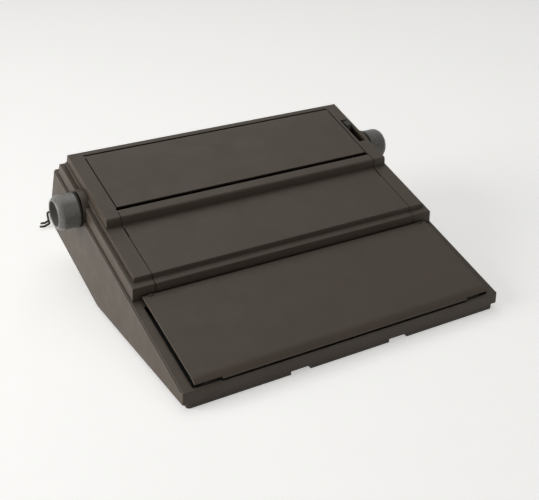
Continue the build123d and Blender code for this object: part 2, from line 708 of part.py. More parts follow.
FEED_RADIUS = 6.0
FEED_SHAFT = 3.0
BAIL_ROD = 2.0
BAIL_ROLLER = 5.0
BAIL_X = (157.0, 158.6)
BAIL_PIVOT = (318.0, 6.0)


def around_platen(angle, reach):
    turn = math.radians(angle)
    return (PLATEN_S + reach * math.cos(turn), PLATEN_N + reach * math.sin(turn))


FRONT_FEED = around_platen(-110.0, PLATEN_RADIUS + FEED_RADIUS + GAP)
REAR_FEED = around_platen(-35.0, PLATEN_RADIUS + FEED_RADIUS + GAP)
BAIL_LINE = around_platen(135.0, PLATEN_RADIUS + BAIL_ROLLER + GAP)


def feed_roller(place):
    """A thin shaft with three rubber-covered rollers."""
    body = along_x(-FRAME_X - 1.5, FRAME_X + 1.5, place[0], place[1], FEED_SHAFT)
    for x in (-90, 0, 90):
        body += along_x(x - 15, x + 15, place[0], place[1], FEED_RADIUS)
    return body


def paper_pan():
    """Curved sheet under the platen that turns the paper round it."""
    start, end = 215.0, 350.0
    outer, inner = PLATEN_RADIUS + 2.7, PLATEN_RADIUS + 1.5

    def arc_points(reach):
        return [around_platen(start, reach), around_platen((start + end) / 2, reach), around_platen(end, reach)]

    side = Plane(origin=(-FRAME_X + 0.1, 0, 0), x_dir=(0, 1, 0), z_dir=(1, 0, 0))
    low = [yz(*p) for p in arc_points(outer)]
    high = [yz(*p) for p in arc_points(inner)]
    outline = [ThreePointArc(*low), Line(low[2], high[2]), ThreePointArc(*high), Line(high[0], low[0])]
    pan = extrude(side * make_face(outline), amount=2 * FRAME_X - 0.2)
    for x in (-90, 0, 90):
        for place in (FRONT_FEED, REAR_FEED):
            pan -= along_x(x - 17, x + 17, place[0], place[1], FEED_RADIUS + 1.2)
    for place in (FRONT_FEED, REAR_FEED):
        pan -= along_x(-200, 200, place[0], place[1], FEED_SHAFT + 0.4)
    keep("paper_pan", pan)


def paper_bail():
    """Rod with an arm at each end, and the small rollers that run on it."""
    rod = along_x(-BAIL_X[1], BAIL_X[1], BAIL_LINE[0], BAIL_LINE[1], BAIL_ROD)
    ds, dn = BAIL_PIVOT[0] - BAIL_LINE[0], BAIL_PIVOT[1] - BAIL_LINE[1]
    reach = math.hypot(ds, dn)
    ns, nn = -dn / reach * 3.0, ds / reach * 3.0
    for sign in (-1, 1):
        x0, x1 = mirrored_pair(BAIL_X[0], BAIL_X[1], sign)
        outline = [(BAIL_LINE[0] + ns, BAIL_LINE[1] + nn), (BAIL_PIVOT[0] + ns, BAIL_PIVOT[1] + nn),
                   (BAIL_PIVOT[0] - ns, BAIL_PIVOT[1] - nn), (BAIL_LINE[0] - ns, BAIL_LINE[1] - nn)]
        rod += deck_prism(outline, x0, x1)
        rod += along_x(x0, x1, BAIL_LINE[0], BAIL_LINE[1], 3.0)
        rod += along_x(x0, x1, BAIL_PIVOT[0], BAIL_PIVOT[1], 4.5)
        rod -= along_x(x0 - 1, x1 + 1, BAIL_PIVOT[0], BAIL_PIVOT[1], 2.0 + RUN)
    keep("paper_bail", rod)
    rollers = []
    for x in (-100, 0, 100):
        ring = along_x(x - 8, x + 8, BAIL_LINE[0], BAIL_LINE[1], BAIL_ROLLER)
        rollers.append(ring - along_x(x - 9, x + 9, BAIL_LINE[0], BAIL_LINE[1], BAIL_ROD + RUN))
    keep("bail_rollers", Compound(children=rollers))


# Side frames and rods

def side_frame(sign):
    x0, x1 = mirrored_pair(FRAME_X, FRAME_X + FRAME_PLATE, sign)
    outline = [(206, FLOOR_N + GAP), (172, -46), (166, -5), (222, 14), (305, 14), (334, 10), (336, FLOOR_N + GAP)]
    plate = deck_prism(outline, x0, x1, {2: 6.0, 5: 6.0})
    plate -= along_x(x0 - 1, x1 + 1, PLATEN_S, PLATEN_N, BUSH_RADIUS + SEAT)
    for place in (FRONT_FEED, REAR_FEED):
        plate -= along_x(x0 - 1, x1 + 1, place[0], place[1], FEED_SHAFT + RUN)
    for place, radius in ((REAR_ROD, REAR_ROD_RADIUS), (FRONT_ROD, FRONT_ROD_RADIUS), (TIE_ROD, FRONT_ROD_RADIUS)):
        plate -= along_x(x0 - 1, x1 + 1, place[0], place[1], radius + SEAT)
    stud = along_x(*mirrored_pair(BAIL_X[0] - 0.6, FRAME_X + 0.5, sign), BAIL_PIVOT[0], BAIL_PIVOT[1], 2.0)
    plate += stud
    x0, x1 = mirrored_pair(PULLEY_X - 17.0, FRAME_X + 0.5, sign)
    shelf = deck_box(x0, x1, PULLEY_S - 17.0, PULLEY_S + 9.0, SHELF_LOW, SHELF_LOW + FRAME_PLATE)
    if sign < 0:
        s, n = pinion_axis()
        plate -= along_x(-200, -100, s, n, 3.0)
        return plate + shelf - along_n(-PULLEY_X, PULLEY_S, SHELF_LOW - 1, SHELF_LOW + 5, 4.0)
    return plate + shelf + along_n(PULLEY_X, PULLEY_S, BELT_LOW - 1.5, SHELF_LOW + 0.5, 2.0)


def frames_and_rods():
    keep("side_frame_left", side_frame(-1))
    keep("side_frame_right", side_frame(1))
    reach = FRAME_X + FRAME_PLATE + 1
    rods = [along_x(-reach, reach, place[0], place[1], radius) for place, radius in
            ((REAR_ROD, REAR_ROD_RADIUS), (FRONT_ROD, FRONT_ROD_RADIUS), (TIE_ROD, FRONT_ROD_RADIUS))]
    keep("guide_rods", Compound(children=rods))


# Print carriage

def carriage_group():
    half = CARRIAGE_HALF
    frame = deck_box(-half, half, 189.5, 254, -51.8, -47.2)
    frame += deck_box(-half, half, REAR_ROD[0] - 9, REAR_ROD[0] + 9, REAR_ROD[1] - 7, -50)
    frame += deck_box(-half, half, FRONT_ROD[0] - 6.5, FRONT_ROD[0] + 6.5, -50, -34.5)
    for sign in (-1, 1):
        x0, x1 = mirrored_pair(half - 2.5, half, sign)
        frame += deck_box(x0, x1, 204, 252, -48, -8)
        frame += deck_box(x0, x1, 204, 230, -8.5, 6.4)
    frame += deck_box(-half, half, 234, 250, -11, -8)
    frame += deck_box(-7, 7, 234, 250, -8.5, HAMMER_N - 6.5)
    frame += deck_box(-half - 2, half + 2, 204, 230, 4.4, 6.4)
    frame += deck_box(-6, 6, PULLEY_S + PULLEY_RADIUS + BELT_THICK + 2 * GAP, 190, BELT_LOW, BELT_HIGH)
    frame -= along_x(-half - 1, half + 1, REAR_ROD[0], REAR_ROD[1], REAR_ROD_RADIUS + RUN)
    frame -= along_x(-half - 1, half + 1, FRONT_ROD[0], FRONT_ROD[1], FRONT_ROD_RADIUS + RUN)
    keep("carriage_frame", frame)
    motor = along_s(0, 216, 250, WHEEL_N, MOTOR_RADIUS) - along_s(0, 236, 251, WHEEL_N, 1.5 + RUN)
    foot = deck_box(-9, 9, 218, 248, -47.2, WHEEL_N - 12)
    keep("wheel_motor", motor + foot - along_s(0, 236, 251, WHEEL_N, 1.5 + RUN))
    keep("print_wheel", print_wheel())
    coil = along_s(0, 233, 251, HAMMER_N, 6.5) - along_s(0, 230, 252, HAMMER_N, 1.5 + RUN)
    keep("hammer_solenoid", coil)
    keep("print_hammer", along_s(0, 231, 259.5, HAMMER_N, 1.5) + along_s(0, 252.5, 254.5, HAMMER_N, 3.0))
    low, high = 6.7, MID_RISE - SHELL - CASSETTE_ROOM
    cassette = deck_box(-46, 46, 203, 229, low, high)
    uprights = [e for e in cassette.edges() if abs(e.length - (high - low)) < 0.01]
    cassette = fillet(uprights, 6.0)
    for sign in (-1, 1):
        x0, x1 = mirrored_pair(27, 32, sign)
        cassette += deck_box(x0, x1, 227, 256, 8, 15)
    keep("ribbon_cassette", cassette)


def print_wheel():
    """Daisy wheel: a hub, a thin web and a ring of sprung petals with type heads."""
    s0, s1 = WHEEL_S, WHEEL_S + WHEEL_THICK
    face = Plane(origin=DECK.from_local_coords((0, s0, WHEEL_N)), x_dir=(1, 0, 0),
                 z_dir=DECK.y_dir)
    petals = Circle(12.0)
    for index in range(PETALS):
        turn = Rot(0, 0, index * 360 / PETALS)
        petals += turn * Pos(0, 22.5) * Rectangle(1.1, 23)
        petals += turn * Pos(0, WHEEL_RADIUS - 1.8) * Rectangle(2.4, 3.6)
    web = extrude(face * petals, amount=WHEEL_THICK)
    hub = along_s(0, 253, s1, WHEEL_N, 7.0)
    axle = along_s(0, 240, 254, WHEEL_N, 1.5)
    return web + hub + axle


# Belt drive

SHELF_LOW = -35.5
DRIVE_SIDE = 33.8
DRIVE_HEIGHT = 26.0


def belt_drive():
    seat = SHELF_LOW + FRAME_PLATE
    half = DRIVE_SIDE / 2
    motor = deck_box(-PULLEY_X - half, -PULLEY_X + half, PULLEY_S - half, PULLEY_S + half, seat, seat + DRIVE_HEIGHT)
    keep("carriage_motor", motor - along_n(-PULLEY_X, PULLEY_S, seat - 1, seat + 14, 2.0 + RUN))
    keep("drive_pulley", pulley(-PULLEY_X) + along_n(-PULLEY_X, PULLEY_S, BELT_HIGH, seat + 13, 2.0))
    idler = pulley(PULLEY_X) - along_n(PULLEY_X, PULLEY_S, BELT_LOW - 5, BELT_HIGH + 5, 2.0 + RUN)
    keep("idler_pulley", idler)
    track = racetrack(PULLEY_RADIUS + GAP + BELT_THICK) - racetrack(PULLEY_RADIUS + GAP)
    belt = extrude(track, amount=BELT_HIGH - BELT_LOW - 2 * GAP)
    keep("drive_belt", DECK * Pos(0, PULLEY_S, BELT_LOW + GAP) * belt)


def racetrack(radius):
    shape = Rectangle(2 * PULLEY_X, 2 * radius)
    return shape + Pos(-PULLEY_X, 0) * Circle(radius) + Pos(PULLEY_X, 0) * Circle(radius)


def pulley(x):
    """Belt pulley with a flange above and below the belt."""
    body = along_n(x, PULLEY_S, BELT_LOW, BELT_HIGH, PULLEY_RADIUS)
    for n in (BELT_LOW - 1.0, BELT_HIGH):
        body += along_n(x, PULLEY_S, n, n + 1.0, PULLEY_RADIUS + 1.5)
    return body


# Keyboard

def key_cap(x, s, units):
    """One key: a tapered cap with a round stem."""
    width = units * KEY_PITCH - (KEY_PITCH - KEY_CAP)
    low = KEY_TOP - KEY_HEIGHT
    base = DECK * Pos(x, s, low) * Rectangle(width, KEY_CAP)
    top = DECK * Pos(x, s + 0.6, KEY_TOP) * RectangleRounded(width - 4.6, KEY_CAP - 4.2, 1.8)
    middle = DECK * Pos(x, s + 0.1, low + 1.5) * Rectangle(width, KEY_CAP)
    cap = loft([base, middle]) + loft([middle, top])
    return cap + along_n(x, s, KEY_PLATE_TOP - KEY_PLATE_THICK - 1.0, low + 0.5, STEM_RADIUS)


def key_rows():
    """Every key as (node, centre X, centre S, width in key units)."""
    rows = [
        [("function_keys", 1), ("", 0.5), ("code_key", 1.5), ("", 1.5), ("space_bar", 8), ("", 1.5),
         ("correction_key", 1.5), ("", 1), ("function_keys", 1.5)],
        [("function_keys", 1), ("", 0.5), ("shift_key_left", 2.25)] + [("letter_keys", 1)] * 10
        + [("shift_key_right", 1.75), ("", 0.5), ("function_keys", 2)],
        [("function_keys", 1), ("", 0.5), ("shift_lock_key", 1.75)] + [("letter_keys", 1)] * 11
        + [("return_key", 1.75), ("", 0.5), ("function_keys", 1.5)],
        [("function_keys", 1), ("", 0.5), ("tab_key", 1.5)] + [("letter_keys", 1)] * 13
        + [("", 0.5), ("function_keys", 1.5)],
        [("function_keys", 1), ("", 0.5)] + [("number_keys", 1)] * 13
        + [("backspace_key", 1.5), ("", 0.5), ("function_keys", 1.5)],
    ]
    keys = []
    for index, row in enumerate(rows):
        x = KEY_LEFT
        s = KEY_FIRST_ROW + index * KEY_PITCH
        for name, units in row:
            if name:
                keys.append((name, x + units * KEY_PITCH / 2, s, units))
            x += units * KEY_PITCH
    return keys


def keyboard():
    groups = {}
    plate = deck_box(-WELL_HALF + 1, WELL_HALF - 1, WELL_FRONT + 1, WELL_BACK + 1,
                     KEY_PLATE_TOP - KEY_PLATE_THICK, KEY_PLATE_TOP)
    holes = []
    for name, x, s, units in key_rows():
        groups.setdefault(name, []).append(key_cap(x, s, units))
        holes.append(along_n(x, s, KEY_PLATE_TOP - 5, KEY_PLATE_TOP + 5, STEM_RADIUS + GAP))
    for x, s in POSTS:
        holes.append(along_n(x, s, KEY_PLATE_TOP - 5, KEY_PLATE_TOP + 5, SCREW_RADIUS + GAP))
    keep("key_plate", plate - holes)
    for name, caps in groups.items():
        keep(name, Compound(children=caps) if len(caps) > 1 else caps[0])
    board = deck_box(-165, 165, 20, 116, KEY_BOARD_TOP - 1.6, KEY_BOARD_TOP)
    for x in (-137, 137):
        for s in (36.5, 93.5):
            board += along_n(x, s, KEY_BOARD_TOP - 0.5, KEY_PLATE_TOP - KEY_PLATE_THICK, 2.0)
    for x, s in POSTS:
        board -= along_n(x, s, KEY_BOARD_TOP - 5, KEY_BOARD_TOP + 5, POST_RADIUS + GAP)
    keep("keyboard_board", board)


# Electronics

SWITCH_DEPTH = 18.0
SWITCH_WALL = 1.5
ROCKER_RADIUS = 7.5
ROCKER_PIN = 1.2
ROCKER_TILT = 8.0


def electronics():
    top = BOARD_LOW + BOARD_THICK
    board = deck_box(*BOARD, BOARD_LOW, top)
    for x, s, w, d, h in ((-110, 300, 50, 15, 4), (-40, 300, 50, 15, 4), (-110, 325, 36, 12, 4),
                          (-40, 325, 36, 12, 4), (20, 320, 30, 20, 12), (-140, 305, 6, 40, 8)):
        board += deck_box(x - w / 2, x + w / 2, s - d / 2, s + d / 2, top - 0.2, top + h)
    for x, s in ((25, 290), (45, 290), (45, 305)):
        board += along_n(x, s, top - 0.2, top + 16, 6.0)
    for x, s in BOARD_POSTS:
        board -= along_n(x, s, BOARD_LOW - 1, top + 1, SCREW_RADIUS + GAP)
    keep("main_board", board)
    low = FLOOR_N
    core = deck_box(80, 140, 296, 338, low, low + 42)
    core += deck_box(86, 134, 288, 346, low + 9, low + 33)
    keep("transformer", core)
    power_switch()


def switch_axis():
    """Pivot of the rocker, just inside the rear wall."""
    return (CASE_LENGTH + SHELF_REAR * -SWITCH_N / REAR_DEPTH - 4.5, SWITCH_N)


def power_switch():
    s, n = switch_axis()
    back = s + 4.5
    body = deck_box(SWITCH_X - SWITCH_HALF, SWITCH_X + SWITCH_HALF, back - SWITCH_DEPTH, back,
                    n - SWITCH_RISE, n + SWITCH_RISE)
    half = SWITCH_HALF - SWITCH_WALL
    body -= deck_box(SWITCH_X - half, SWITCH_X + half, s - ROCKER_RADIUS, back + 5,
                     n - SWITCH_RISE + SWITCH_WALL, n + SWITCH_RISE - SWITCH_WALL)
    body -= along_n(SWITCH_X, s, n - SWITCH_RISE - 1, n + SWITCH_RISE + 1, ROCKER_PIN + RUN)
    keep("power_switch_body", body)
    rocker = along_n(SWITCH_X, s, n - SWITCH_RISE + SWITCH_WALL + GAP, n + SWITCH_RISE - SWITCH_WALL - GAP,
                     ROCKER_RADIUS)
    rocker &= deck_box(SWITCH_X - 20, SWITCH_X + 20, s - 2.5, s + 6.2, n - 20, n + 20)
    notch = along_n(SWITCH_X, s + 22.5, n - 20, n + 20, 17.0)
    rocker -= notch
    rocker += along_n(SWITCH_X, s, n - SWITCH_RISE + 0.2, n + SWITCH_RISE - 0.2, ROCKER_PIN)
    pivot = Plane(origin=Vector(SWITCH_X, *yz(s, n)), x_dir=(1, 0, 0), z_dir=DECK.z_dir)
    keep("power_switch_rocker", pivot * Rot(0, 0, -ROCKER_TILT) * pivot.location.inverse() * rocker)


# Lead: strain relief, free stretch, coil, plug and tie

RELIEF_NECK = 6.0
RELIEF_TIP = 4.6
RELIEF_LENGTH = 30.0


def relief_place():
    """Where the lead passes through the outside of the rear wall."""
    s = CASE_LENGTH + SHELF_REAR * (-RELIEF_N) / REAR_DEPTH
    return yz(s, RELIEF_N)


def coil_point(turn):
    """Place and heading of the coil's centre line, turn in degrees from its start."""
    outer = COIL_INNER + COIL_PITCH * COIL_SWEEP / 360
    rate = COIL_PITCH / 360
    if turn <= COIL_SWEEP:
        radius, height, slope, climb = outer - rate * turn, CORD_LIFT, -rate, 0.0
    elif turn <= COIL_SWEEP + 180:
        part = (turn - COIL_SWEEP) / 180
        radius = COIL_INNER - rate * 180 / math.pi * math.sin(math.pi * part)
        slope = -rate * math.cos(math.pi * part)
        height = CORD_LIFT + COIL_LAYER * (1 - math.cos(math.pi * part)) / 2
        climb = COIL_LAYER * math.sin(math.pi * part) * math.pi / 360
    else:
        radius, slope = COIL_INNER + rate * (turn - COIL_SWEEP - 180), rate
        height, climb = CORD_LIFT + COIL_LAYER, 0.0
    angle = math.radians(COIL_START + turn)
    per_radian = 180 / math.pi
    place = Vector(COIL_CENTRE[0] + radius * math.cos(angle), COIL_CENTRE[1] + radius * math.sin(angle), height)
    heading = Vector(slope * per_radian * math.cos(angle) - radius * math.sin(angle),
                     slope * per_radian * math.sin(angle) + radius * math.cos(angle), climb * per_radian)
    return place, heading.normalized()


def biarc(start, start_heading, end, end_heading):
    """Two arcs that join two places and keep both headings."""
    across = end - start
    sum_heading = start_heading + end_heading
    a = 2 * (1 - start_heading.dot(end_heading))
    b = 2 * across.dot(sum_heading)
    c = -across.dot(across)
    reach = (-b + math.sqrt(b * b - 4 * a * c)) / (2 * a)
    middle = (start + start_heading * reach + end - end_heading * reach) * 0.5
    to_end = end - end_heading * reach - (start + start_heading * reach)
    return [Edge.make_tangent_arc(start, start_heading, middle),
            Edge.make_tangent_arc(middle, to_end.normalized(), end)]


COIL_STEP = 90.0


def cord_coil():
    total = 2 * COIL_SWEEP + 180
    turns = [0.0]
    for corner in (COIL_SWEEP, COIL_SWEEP + 180, total):
        steps = max(1, round((corner - turns[-1]) / COIL_STEP))
        first = turns[-1]
        turns += [first + (corner - first) * (i + 1) / steps for i in range(steps)]
    edges = []
    for first, last in zip(turns, turns[1:]):
        edges += biarc(*coil_point(first), *coil_point(last))
    end, out = coil_point(total)
    edges.append(Line(end, end + out * COIL_TAIL).edge())
    path = Wire(edges)
    place, heading = coil_point(0)
    profile = Plane(origin=place, z_dir=heading) * Circle(CORD / 2)
    keep("cord_coil", sweep(profile, path=path))
    gap = 1e9
    samples = [coil_point(total * i / 900)[0] for i in range(901)]
    samples += [end + out * COIL_TAIL * i / 12 for i in range(1, 13)]
    away = round(900 * 200 / total)
    for i in range(0, len(samples), 3):
        for j in range(i + away, len(samples)):
            gap = min(gap, (samples[i] - samples[j]).length)
    print("coil length %.0f mm, least gap to itself %.2f mm" % (path.length, gap - CORD))


def cord_points():
    """The free stretch of the lead, from the strain relief to the coil."""
    y, z = relief_place()
    start, heading = coil_point(0)
    last = start - heading * 21
    points = [(RELIEF_X, y + RELIEF_LENGTH, z), (RELIEF_X, 413, z), (-21.5, 434, 51), (-26, 450, 30),
              (-38, 463.5, 11.5), (-57, 471.5, 4.0)]
    return [Vector(*p) for p in points] + [last, start]


def mains_cord():
    points = cord_points()
    runs = [(b - a).length for a, b in zip(points, points[1:])]
    radii = []
    for i in range(1, len(points) - 1):
        turn = (points[i] - points[i - 1]).get_angle(points[i + 1] - points[i])
        radii.append(0.45 * min(runs[i - 1], runs[i]) / math.tan(math.radians(turn / 2)))
    print("cord runs", [round(r, 1) for r in runs], "radii", [round(r, 1) for r in radii])
    path = FilletPolyline(*points, radius=radii)
    profile = Plane(origin=path @ 0, z_dir=path % 0) * Circle(CORD / 2)
    tube = sweep(profile, path=path)
    print("cord length %.0f mm, volume ratio %.4f" % (path.length, tube.volume / (math.pi * CORD ** 2 / 4 * path.length)))
    keep("mains_cord", tube)


def strain_relief():
    """Tapered ribbed sleeve in the rear wall."""
    y, z = relief_place()
    face = Plane(origin=(RELIEF_X, y, z), x_dir=(1, 0, 0), z_dir=(0, 1, 0))
    tip = Plane(origin=(RELIEF_X, y + RELIEF_LENGTH, z), x_dir=(1, 0, 0), z_dir=(0, 1, 0))
    body = loft([Plane(origin=(RELIEF_X, y + 2.5, z), x_dir=(1, 0, 0), z_dir=(0, 1, 0)) * Circle(RELIEF_NECK),
                 tip * Circle(RELIEF_TIP)])
    body += Pos(RELIEF_X, y - 3.5, z) * Rot(90, 0, 0) * Cylinder(RELIEF_NECK, 13)
    body += Pos(RELIEF_X, y + 4.0, z) * Rot(90, 0, 0) * Cylinder(RELIEF_NECK + 1.6, 2.4)
    for index in range(5):
        at = 9.0 + index * 3.6
        radius = RELIEF_NECK + (RELIEF_TIP - RELIEF_NECK) * at / RELIEF_LENGTH + 0.5
        body += Pos(RELIEF_X, y + at, z) * Rot(90, 0, 0) * Cylinder(radius, 1.6)
    keep("strain_relief", body)


def mains_plug():
    """Moulded two-pin plug lying on the desk beside the coil."""
    place, heading = coil_point(2 * COIL_SWEEP + 180)
    seat = Plane(origin=place + heading * COIL_TAIL, x_dir=Vector(0, 0, 1).cross(heading), z_dir=heading)

    def station(reach, width, height, corner):
        return seat * Pos(0, 0, reach) * RectangleRounded(width, height, corner)

    body = loft([station(0, 9.4, 9.4, 4.6), station(14, 13, 12, 5.5), station(20, 23, 18.4, 6.5)])
    body += loft([station(20, 23, 18.4, 6.5), station(40, 26, 20, 7)])
    for x in (-9.5, 9.5):
        body += seat * Pos(x, 0, 48.5) * Cylinder(2.4, 19)
    keep("mains_plug", body)


TIE_Y = 460.0
TIE_WIRE = 3.0
TIE_BEND = 2.0
TIE_REACH = 5.0
TIE_ROOM = 1.9


def cord_tie():
    """Wire tie over the coil, with its two free ends out to the left."""
    outer = COIL_INNER + COIL_PITCH * COIL_SWEEP / 360 + CORD / 2
    left = COIL_CENTRE[0] - outer - TIE_WIRE / 2 - 0.4
    right = COIL_CENTRE[0] - COIL_INNER + CORD / 2 + TIE_WIRE / 2 + TIE_ROOM
    high = CORD_LIFT + COIL_LAYER + CORD / 2 + TIE_WIRE / 2 + GAP
    far = left - TIE_REACH
    long_end = [(far - 9, TIE_Y - 13, 8.2), (far - 3.5, TIE_Y - 11.5, 7.0), (left - 0.8, TIE_Y - 5, 5.8),
                (left, TIE_Y, 8.5), (left, TIE_Y + 0.5, high), (right, TIE_Y + 0.4, high), (right, TIE_Y, 2.6)]
    short_end = [(far - 11, TIE_Y - 14, 4.4), (far - 5, TIE_Y - 13.4, 3.1), (left - 1.2, TIE_Y - 9, 3.6),
                 (left - 0.8, TIE_Y - 5.2, 5.6)]
    tie = None
    for points in (long_end, short_end):
        path = FilletPolyline(*points, radius=[TIE_BEND] * (len(points) - 2))
        wire = sweep(Plane(origin=path @ 0, z_dir=path % 0) * Circle(TIE_WIRE / 2), path=path)
        tie = wire if tie is None else tie + wire
    keep("cord_tie", tie)


# Screws

def screws():
    """Screws that hold the key plate and the main board to their posts."""
    pieces = []
    for places, seat, drop in ((POSTS, KEY_PLATE_TOP, SCREW_LENGTH),
                               (BOARD_POSTS, BOARD_LOW + BOARD_THICK, BOARD_THICK + 3.0)):
        for x, s in places:
            head = along_n(x, s, seat, seat + SCREW_HEAD_HEIGHT, SCREW_HEAD)
            pieces.append(head + along_n(x, s, seat - drop, seat + 0.5, SCREW_RADIUS))
    keep("board_screws", Compound(children=pieces))


def write_parts():
    cord_names = {"mains_cord", "cord_coil", "mains_plug", "cord_tie"}
    boxes = [shape.bounding_box() for name, shape in PARTS.items() if name not in cord_names]
    middle = (min(b.min.Y for b in boxes) + max(b.max.Y for b in boxes)) / 2
    print("nodes", len(PARTS), "middle in Y %.3f" % middle, "case height %.2f" % max(b.max.Z for b in boxes))
    os.makedirs("parts", exist_ok=True)
    for name, shape in PARTS.items():
        export_step(Pos(0, -middle, 0) * shape, "parts/%s.step" % name)


lower_case()
rubber_feet()
upper_case()
rear_lid()
access_cover()
keyboard_cover()
hinge_pins()
platen_group()
line_feed_drive()
release_lever()
keep("front_feed_roller", feed_roller(FRONT_FEED))
keep("rear_feed_roller", feed_roller(REAR_FEED))
paper_pan()
paper_bail()
frames_and_rods()
carriage_group()
belt_drive()
keyboard()
electronics()
screws()
strain_relief()
mains_cord()
cord_coil()
mains_plug()
cord_tie()
write_parts()
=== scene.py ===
import json
import math

import bmesh
import bpy
from mathutils import Matrix, Vector


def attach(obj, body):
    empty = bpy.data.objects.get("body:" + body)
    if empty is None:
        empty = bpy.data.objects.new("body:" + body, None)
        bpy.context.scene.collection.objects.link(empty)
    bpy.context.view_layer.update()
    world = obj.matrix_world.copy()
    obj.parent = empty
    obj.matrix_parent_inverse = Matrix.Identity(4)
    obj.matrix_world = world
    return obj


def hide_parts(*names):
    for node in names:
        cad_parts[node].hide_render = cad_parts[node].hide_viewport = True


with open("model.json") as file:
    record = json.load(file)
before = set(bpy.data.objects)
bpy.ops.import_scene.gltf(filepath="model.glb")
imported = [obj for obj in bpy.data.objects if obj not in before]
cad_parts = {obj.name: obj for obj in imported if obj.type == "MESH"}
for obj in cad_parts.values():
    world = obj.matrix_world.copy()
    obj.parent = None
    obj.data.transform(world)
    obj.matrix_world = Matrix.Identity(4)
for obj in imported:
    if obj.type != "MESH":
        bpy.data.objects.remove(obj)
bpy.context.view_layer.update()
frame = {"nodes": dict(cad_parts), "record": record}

# Sizes are in metres. The places of the camera and the cord are given from the case's front edge.
FRONT_Y = -0.195892

# The photograph's frame and camera
PHOTO_WIDTH = 539
CAMERA_FOCAL = 1001.17
CAMERA_PLACE = (-0.536905, -0.714303, 0.588990)
CAMERA_AZIMUTH = math.radians(-31.167)
CAMERA_ELEVATION = math.radians(27.593)
CAMERA_ROLL = math.radians(0.914)
CAMERA_NEAR = 0.01
SENSOR = 36.0

# The mains lead: its free stretch, and then a flat coil of two layers, with its turns in degrees
CORD = 0.0065
CORD_LIFT = CORD / 2 + 0.0001
FREE_STRETCH = (
    (-0.020, 0.3914, 0.0636), (-0.020, 0.413, 0.0636), (-0.0215, 0.434, 0.051),
    (-0.026, 0.450, 0.030), (-0.038, 0.4635, 0.0115), (-0.057, 0.4715, 0.004))
HALF_TURN = 180
FULL_TURN = 360
COIL_CENTRE = (-0.117, 0.458)
COIL_INNER = 0.027
COIL_PITCH = 0.0071
COIL_LAYER = 0.007
COIL_START = 50.0
COIL_SWEEP = 1100.0
COIL_WHOLE = 2 * COIL_SWEEP + HALF_TURN
COIL_LEAD_IN = 0.021
COIL_TAIL = 0.032
COIL_POINTS_PER_TURN = 24
TUBE_ROUNDNESS = 6
TUBE_RESOLUTION = 8
TUBE_ORDER = 3

# Shader samples
BEVEL_SAMPLES = 4
OPENNESS_SAMPLES = 8

# Noise fields of the materials, as scale per metre, detail and roughness
CASE_CLOUD = (9.0, 4.0, 0.6)
CASE_SMEAR = (42.0, 3.0, 0.6)
CASE_GRAIN_FINE = (2600.0, 2.0, 0.55)
CASE_GRAIN_COARSE = (988.0, 2.0, 0.5)
SMOOTH_CLOUD = (14.0, 3.0, 0.6)
SMOOTH_SCUFF = (160.0, 4.0, 0.7)
RUBBER_DUST = (60.0, 5.0, 0.7)
RUBBER_PORES = (3800.0, 1.0, 0.5)
METAL_SCRATCH = (60.0, 4.0, 0.7)
METAL_CLOUD = (30.0, 3.0, 0.5)
BOARD_SOLDER = (700.0, 1.0, 0.5)
FLOOR_SPECK = (35.0, 4.0, 0.5)

# Radius that the shader rounds edges by, reach of the painted edge highlight on them, and the turn that
# counts as an edge
CASE_ROUND, CASE_EDGE = 0.0006, 0.0009
SMOOTH_ROUND, SMOOTH_EDGE = 0.0004, 0.0007
RUBBER_ROUND = 0.0003
METAL_ROUND = 0.0003
EDGE_FULL = 0.25

# Depths of the bump layers
COARSE_DEPTH = 0.0002
GRAIN_DEPTH = 0.00012
FINE_DEPTH = 0.0001

# Painted shade on moulded plastic at the feet of steps and in crevices: reach, openness that is darkest
# and lightest, and how dark it gets
STEP_FOOT_SHADE = (0.012, 0.4, 0.9, 0.45)
CREVICE_SHADE = (0.004, 0.2, 0.7, 0.1)

# Specular levels, and the scale that draws a metal's scratches out along X
CASE_SHINE = 0.34
RUBBER_SHINE = 0.3
METAL_STRETCH = (1.0, 60.0, 60.0)

# Colours
CASE = (0.084, 0.0635, 0.0465)
KNOB = (0.205, 0.200, 0.184)
BLACK = (0.018, 0.017, 0.016)
BLACK_RUBBER = (0.016, 0.015, 0.014)
CORD_BLACK = (0.016, 0.016, 0.016)
TIE = (0.055, 0.050, 0.032)
LEVER = (0.026, 0.023, 0.017)
NYLON = (0.62, 0.60, 0.52)
FRAME_PAINT = (0.11, 0.115, 0.115)
KEY = (0.46, 0.43, 0.37)
ZINC = (0.56, 0.56, 0.55)
LACQUER_DARK = (0.016, 0.085, 0.035)
LACQUER_PALE = (0.022, 0.115, 0.05)
TRACK = (0.05, 0.2, 0.09)

# The floor's colours, and how strongly it shows at the near and the far Y
FLOOR_REACH = 9.0
FLOOR_DARK = (0.79, 0.785, 0.77)
FLOOR_PALE = (0.81, 0.805, 0.79)
FLOOR_ROUGH = 0.8
GLOW_COLOUR = (1.0, 0.992, 0.972)
GLOW_NEAR, GLOW_NEAR_Y = 0.49, 0.3
GLOW_FAR, GLOW_FAR_Y = 0.42, 1.8

# Lamps: name, place, target, size and power in watts
LAMPS = (
    ("window_left", (-2.3, 0.35, 0.95), (0.0, 0.0, 0.08), (1.9, 1.5), 41.0),
    ("ceiling", (0.1, 0.9, 2.4), (0.0, 0.0, 0.0), (2.6, 2.6), 19.0),
    ("room_front", (0.6, -2.6, 1.3), (0.0, 0.0, 0.1), (2.2, 1.6), 1.5))
ROOM_COLOUR = (1.0, 0.99, 0.975)
ROOM_LIGHT = 0.08
ROOM_SHOWN = 0.6


